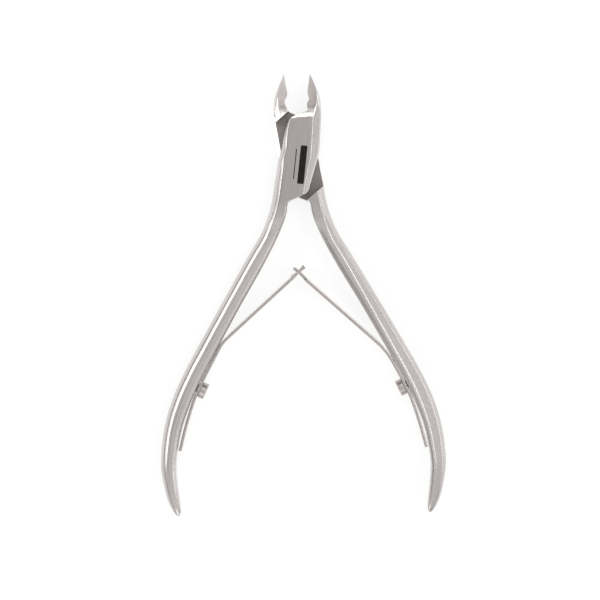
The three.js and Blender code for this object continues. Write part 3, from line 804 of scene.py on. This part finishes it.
def leaf(name, bend, bend_reach, free, cutters, split_at, splay, place):
    """A leaf spring as one strip: swept along its path, cut, splayed at its fork and leaned."""
    path = rounded_path([*LEAF_TAIL, LEAF_SEAT, LEAF_SHOULDER, bend, *free],
                        BASE_REACHES + [bend_reach] + [HOOK_REACH] * (len(free) - 1))
    tangent = np.gradient(path, axis=0)
    tangent /= np.linalg.norm(tangent, axis=1)[:, None]
    normal = np.stack([-tangent[:, 1], tangent[:, 0]], axis=1)
    half_t, half_w, r = LEAF_THICKNESS / 2, LEAF_WIDTH / 2, EDGE_RADIUS
    outline = []
    for cx, cz, first in ((half_t - r, half_w - r, 0), (-half_t + r, half_w - r, 90),
                          (-half_t + r, -half_w + r, 180), (half_t - r, -half_w + r, 270)):
        for k in range(4):
            a = math.radians(first + 30 * k)
            outline.append([cx + r * math.cos(a), cz + r * math.sin(a)])
    rings = []
    for p, n in zip(path, normal):
        rings.append([[*(p + n * x), z] for x, z in outline])
    obj = loft(name, rings)
    paint(obj, [spring_look, spring_painted_highlight])
    cut(obj, cutters, [spring_look, spring_painted_highlight])
    # The leaves' broad sides take the lighter copy of the spring steel, a painted highlight.
    sides = [1 if abs(polygon.normal.z) < 0.35 else 0 for polygon in obj.data.polygons]
    obj.data.polygons.foreach_set("material_index", sides)
    if splay:
        start = np.array(split_at)
        on = np.array(free[-1], float) - start
        length = np.linalg.norm(on)
        on /= length
        aside = np.array([-on[1], on[0]])
        for vertex in obj.data.vertices:
            x, y, z = (c / MM for c in vertex.co)
            t = float(np.clip(np.dot(np.array([x, y]) - start, on) / length, 0, 1.2))
            off = float(np.dot(np.array([x, y]) - start, aside))
            shift = splay * t * t * (1 if z > 0 else -1) - PRONG_THINNING * min(t, 1.0) * off
            vertex.co.x += aside[0] * shift * MM
            vertex.co.y += aside[1] * shift * MM
    bend = np.array(bend)
    on = np.array(free[0]) - bend
    on /= np.linalg.norm(on)
    upwards = np.array([-on[1], on[0]])
    for vertex in obj.data.vertices:
        point = np.array([c / MM for c in vertex.co])
        share = min(max((np.dot(point[:2] - bend, on) - LEAN_START) / LEAN_LENGTH, 0), 1)
        placed = place([point])[0]
        depth = (MID + LEAF_WIDTH / 2 - placed[2]) / LEAF_WIDTH
        point[:2] += upwards * LEAN * depth * share * share * (3 - 2 * share)
        vertex.co = [c * MM for c in place([point])[0]]
    smooth(obj, 40)
    return obj


def along_leaf(start, end):
    angle = math.atan2(end[1] - start[1], end[0] - start[0])
    return math.cos(angle), math.sin(angle)


PRISM_REACH = 4.0              # to either side of the leaf
TONGUE_ROUND = 0.7             # of the corners where the tongue leaves the leaf


def prism_through_leaf(name, start, end, outline):
    """A prism through a leaf's thickness. The outline is [distance along the leaf, height]."""
    c, s = along_leaf(start, end)
    rings = []
    for side in (-PRISM_REACH, PRISM_REACH):
        rings.append([[start[0] + u * c - side * s, start[1] + u * s + side * c, z]
                      for u, z in outline])
    return loft(name, rings, fan=True)


def fork_cutter():
    r = FORK_GAP / 2
    outline = [[8, -r]]
    outline += [[r - r * math.sin(a), -r * math.cos(a)] for a in np.linspace(0, math.pi, 17)]
    outline += [[8, r]]
    return prism_through_leaf("fork", FORK_START, LEFT_FREE[0], outline)


def tongue_cutters():
    made = []
    for side in (1, -1):
        r, low = TONGUE_ROUND, TONGUE_WIDTH / 2
        outline = [[8, low]]
        outline += [[r - r * math.sin(a), low + r - r * math.cos(a)]
                    for a in np.linspace(0, math.pi / 2, 9)]
        outline += [[0, 4], [8, 4]]
        outline = [[u, side * z] for u, z in outline]
        made.append(prism_through_leaf("tongue", TONGUE_START, RIGHT_FREE[2], outline))
    return made


def leaf_hole():
    return lathe("leaf_hole", pin_profile(1.5, -1.5), 40, on_seat)


def round_over(r, h, radius, steps=6):
    """A quarter turn from the drum's side at r to its top at h."""
    return [[r - radius + radius * math.cos(a), h - radius + radius * math.sin(a)]
            for a in np.linspace(0, math.pi / 2, steps)]


def spring_screw(name, place):
    """A slotted drum head on a shank with plain grooves, its head just clear of the leaf."""
    base = LEAF_THICKNESS / 2 + 0.02
    top = base + SCREW_HEAD_HEIGHT
    end = base - SCREW_REACH
    r, groove, pitch = SCREW_SHANK, 0.1, 0.3
    profile = [[0, end], [r - 0.18, end], [r, end + 0.18]]
    for k in range(9):
        profile += [[r, end + pitch * (k + 1)], [r - groove, end + pitch * (k + 1.5)]]
    profile += [[r, base], [SCREW_HEAD - 0.11, base], [SCREW_HEAD, base + 0.1]]
    profile += round_over(SCREW_HEAD, top - 0.02, 0.16)
    profile += [[1.2, top - 0.005], [0.6, top], [0, top]]
    body = lathe(name, profile, 96, lambda p: place(on_seat(p)))
    paint(body, [screw_look])

    def seat_place(points):
        return place(np.array([on_seat(p) for p in points]))

    slot_size = (SLOT_CUTTER_LENGTH, 2 * SLOT_DEPTH, SLOT_WIDTH)
    slot = box("slot", seat_place, slot_size, (0, top, 0), 0.0)
    cut(body, [(slot, 0)], [screw_look])
    smooth(body, 30)
    return body


def rivet_hole_profile(end):
    head, shank = RIVET_HEAD + PIN_CLEARANCE, RIVET_SHANK + PIN_CLEARANCE
    return [[0, -1], [head, -1], [head, 0], [shank, RIVET_HEAD_DEPTH], [shank, end], [0, end]]


def rivet_profile():
    """A countersunk head with a faint dimple in its middle, and a plain shank."""
    return [[0, 0.03], [0.35, 0.02], [0.5, 0], [1.6, 0], [RIVET_HEAD - 0.1, 0], [RIVET_HEAD, 0.07],
            [RIVET_SHANK, RIVET_HEAD_DEPTH], [RIVET_SHANK, RIVET_LENGTH], [0, RIVET_LENGTH]]


def upright(p):
    """Turns a lathed solid's own axis to the Z axis."""
    return np.array([p[0], -p[2], p[1]])


def front(points):
    return lift(points)


def back(points):
    return lift(turn_over(points))


front_hole = lathe("rivet_hole", rivet_hole_profile(RIVET_LENGTH + PIN_CLEARANCE), 96, upright)
back_hole = lathe("rivet_hole", rivet_hole_profile(2 * MID), 96, upright)

front_half = forged_half("front_forging", FRONT_INNER_SIDE, front,
                         [brushed_front, polished, raw, ground], front_hole)
back_half = forged_half("back_forging", BACK_INNER_SIDE, back,
                        [brushed_back, polished, raw, ground], back_hole)
left_leaf = leaf("left_leaf_spring", LEFT_BEND, 1.4, LEFT_FREE,
                 [(fork_cutter(), 0), (leaf_hole(), 0)], FORK_START, SPLAY, front)
right_leaf = leaf("right_leaf_spring", RIGHT_BEND, 3.0, RIGHT_FREE,
                  [(c, 0) for c in tongue_cutters()] + [(leaf_hole(), 0)], TONGUE_START, 0, back)
left_screw = spring_screw("left_screw_turned", front)
right_screw = spring_screw("right_screw_turned", back)
rivet = lathe("rivet_turned", rivet_profile(), 128, upright)
paint(rivet, [rivet_look])
smooth(rivet, 30)

# ---- The frame ----------------------------------------------------------------------------------

for piece, body, node, slot in (
        (front_half, "front_half", "front_half", "forged_steel"),
        (back_half, "back_half", "back_half", "forged_steel"),
        (left_screw, "front_half", "left_spring_screw", "screw_steel"),
        (right_screw, "back_half", "right_spring_screw", "screw_steel"),
        (rivet, "front_half", "pivot_rivet", "rivet_steel")):
    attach(piece, body)
    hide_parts(node)


def bend_between(piece, bend, free, nodes):
    """Bakes the leaf's placement into its mesh and hides the given CAD parts."""
    bend, free = np.array(bend), np.array(free)
    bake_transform(piece)
    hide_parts(*nodes)


bend_between(left_leaf, LEFT_BEND, LEFT_FREE[0],
             ("left_spring", "left_spring_arm"))
bend_between(right_leaf, RIGHT_BEND, RIGHT_FREE[0],
             ("right_spring", "right_spring_arm"))

# ---- Floor, light and camera ------------------------------------------------------------------

FLOOR_HALF = 900
FLOOR_HEIGHT = -0.05
corners = [[x * FLOOR_HALF, y * FLOOR_HALF, FLOOR_HEIGHT]
           for x, y in ((-1, -1), (1, -1), (1, 1), (-1, 1))]
floor = mesh_object("floor", corners, [(0, 1, 2, 3)])
pale = Nodes("pale_floor")
pale.shader.inputs["Base Color"].default_value = (0.28, 0.28, 0.28, 1)
pale.shader.inputs["Roughness"].default_value = 0.9
pale.shader.inputs["Specular IOR Level"].default_value = 0.0
pale.shader.inputs["Emission Color"].default_value = (1, 1, 1, 1)
pale.shader.inputs["Emission Strength"].default_value = 0.79
floor.data.materials.append(pale.material)

world = bpy.data.worlds.new("studio")
bpy.context.scene.world = world
world.use_nodes = True
tree = world.node_tree
tree.nodes.clear()
coordinates = tree.nodes.new("ShaderNodeTexCoord")
split = tree.nodes.new("ShaderNodeSeparateXYZ")
tree.links.new(coordinates.outputs["Generated"], split.inputs[0])
ramp = tree.nodes.new("ShaderNodeValToRGB")
tree.links.new(split.outputs["Z"], ramp.inputs["Fac"])
stops = [(0.0, 0.20), (0.12, 0.32), (0.35, 0.64), (0.6, 0.70), (0.85, 0.77), (1.0, 0.77)]
ramp.color_ramp.elements[0].position = stops[0][0]
ramp.color_ramp.elements[1].position = stops[-1][0]
for position, _ in stops[1:-1]:
    ramp.color_ramp.elements.new(position)
for element, (_, value) in zip(ramp.color_ramp.elements, stops):
    element.color = (value, value * 0.99, value * 0.97, 1)


def direction(azimuth, from_vertical):
    """A unit vector. Azimuth 0 is +X and 90 is +Y, and both angles are in degrees."""
    a, v = math.radians(azimuth), math.radians(from_vertical)
    return math.sin(v) * math.cos(a), math.sin(v) * math.sin(a), math.cos(v)


def darker_patch(azimuth, from_vertical, outer, inner, strength):
    """A round patch of the surroundings that falls to the given strength. Angles in degrees."""
    toward = tree.nodes.new("ShaderNodeVectorMath")
    toward.operation = "DOT_PRODUCT"
    toward.inputs[1].default_value = direction(azimuth, from_vertical)
    tree.links.new(coordinates.outputs["Generated"], toward.inputs[0])
    fade = tree.nodes.new("ShaderNodeMapRange")
    fade.interpolation_type = "SMOOTHSTEP"
    fade.inputs["From Min"].default_value = math.cos(math.radians(outer))
    fade.inputs["From Max"].default_value = math.cos(math.radians(inner))
    fade.inputs["To Min"].default_value = 1.0
    fade.inputs["To Max"].default_value = strength
    tree.links.new(toward.outputs["Value"], fade.inputs["Value"])
    return fade.outputs["Result"]


both = tree.nodes.new("ShaderNodeMath")
both.operation = "MULTIPLY"
tree.links.new(darker_patch(180, 25, 22, 8, 0.3), both.inputs[0])
tree.links.new(darker_patch(90, 64, 36, 20, 0.25), both.inputs[1])
background = tree.nodes.new("ShaderNodeBackground")
tree.links.new(both.outputs["Value"], background.inputs["Strength"])
backdrop = tree.nodes.new("ShaderNodeBackground")
backdrop.inputs["Color"].default_value = (0.93, 0.93, 0.925, 1)
seen = tree.nodes.new("ShaderNodeLightPath")
either = tree.nodes.new("ShaderNodeMixShader")
world_out = tree.nodes.new("ShaderNodeOutputWorld")
tree.links.new(ramp.outputs["Color"], background.inputs["Color"])
tree.links.new(seen.outputs["Is Camera Ray"], either.inputs["Fac"])
tree.links.new(background.outputs["Background"], either.inputs[1])
tree.links.new(backdrop.outputs["Background"], either.inputs[2])
tree.links.new(either.outputs["Shader"], world_out.inputs["Surface"])


LIT_POINT_Y = -30              # the lights stand round this point of the Y axis


def softbox(name, azimuth, from_vertical, distance, size, radiance):
    """A soft area light in that direction from the lit point. Lengths are in metres."""
    light = bpy.data.lights.new(name, "AREA")
    light.shape = "RECTANGLE"
    light.size, light.size_y = size
    light.energy = radiance * math.pi * size[0] * size[1]
    obj = bpy.data.objects.new(name, light)
    bpy.context.scene.collection.objects.link(obj)
    x, y, z = direction(azimuth, from_vertical)
    obj.location = (distance * x, distance * y + LIT_POINT_Y * MM, distance * z)
    obj.rotation_euler = (math.radians(from_vertical), 0, math.radians(azimuth) + math.pi / 2)
    return obj


softbox("left_softbox", 167, 55, 1.2, (0.86, 0.36), 1.8)
softbox("right_softbox", 15, 30, 1.2, (0.76, 0.25), 2.4)
softbox("jaw_softbox", 97, 30, 1.2, (0.6, 0.35), 1.45)
softbox("near_softbox", 262, 55, 1.2, (1.3, 0.7), 0.8)
softbox("side_softbox", 8, 76, 1.2, (1.2, 0.4), 0.95)

camera = bpy.data.cameras.new("camera")
camera.lens = 100
camera.sensor_width = 36
camera_object = bpy.data.objects.new("camera", camera)
bpy.context.scene.collection.objects.link(camera_object)
camera_object.location = (-0.17 * MM, -33.6 * MM, 403.2 * MM)
camera_object.rotation_euler = (0, 0, math.radians(-0.97))
bpy.context.scene.camera = camera_object
bpy.context.scene.view_settings.view_transform = "Standard"
bpy.context.scene.view_settings.look = "None"
